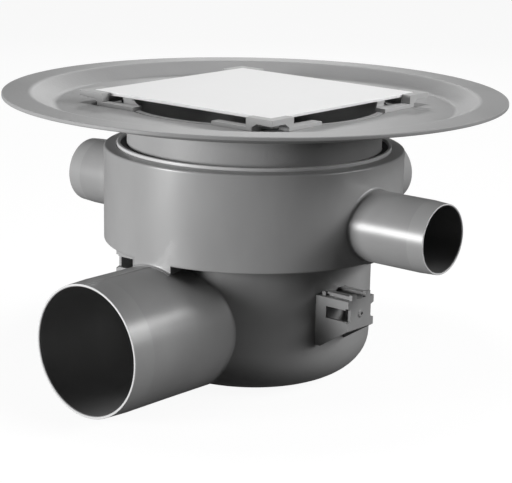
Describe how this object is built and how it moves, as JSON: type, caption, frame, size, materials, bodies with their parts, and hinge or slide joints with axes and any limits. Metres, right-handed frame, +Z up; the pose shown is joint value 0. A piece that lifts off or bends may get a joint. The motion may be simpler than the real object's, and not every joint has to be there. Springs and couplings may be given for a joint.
{
  "type": "gully trap",
  "caption": "Round plastic floor gully with a side outlet, side inlets, a lift-out water trap, and a sealing flange that turns and slides under a square cover.",
  "frame": {"origin": "centre of the housing's flat underside, on the axis of the drain", "axes": "+Z up along the drain's axis; the outlet points along -Y; the side inlets point along +X, -X and +Y"},
  "size_m": [0.2886, 0.2886, 0.164],
  "materials": {
    "housing_plastic": "satin grey moulded plastic",
    "bracket_plastic": "satin grey moulded plastic",
    "ring_plastic": "light grey moulded plastic",
    "seal_rubber": "soft black rubber",
    "flange_plastic": "satin grey moulded plastic",
    "cover_plastic": "smooth near-white plate",
    "foot_plastic": "pale moulded plastic",
    "trap_plastic": "grey moulded plastic",
    "sieve_plastic": "light grey moulded plastic"
  },
  "bodies": {
    "housing": {"housing": "housing_plastic", "bracket_right": "bracket_plastic", "bracket_left": "bracket_plastic", "trap_funnel": "trap_plastic", "trap_seal": "seal_rubber", "trap_cup": "trap_plastic", "hair_sieve": "sieve_plastic"},
    "collar": {"seal_ring": "ring_plastic", "neck_seal": "seal_rubber"},
    "flange": {"flange": "flange_plastic", "cover_plate": "cover_plastic", "corner_foot_left": "foot_plastic", "corner_foot_front": "foot_plastic", "corner_foot_right": "foot_plastic", "corner_foot_back": "foot_plastic"}
  },
  "joints": [
    {"name": "flange_turn", "type": "hinge", "parent": "housing", "child": "collar", "pos_m": [0, 0, 0.132], "axis": [0, 0, 1], "continuous": true},
    {"name": "flange_height", "type": "slide", "parent": "collar", "child": "flange", "axis": [0, 0, 1], "range_m": [-0.019, 0.01]}
  ]
}
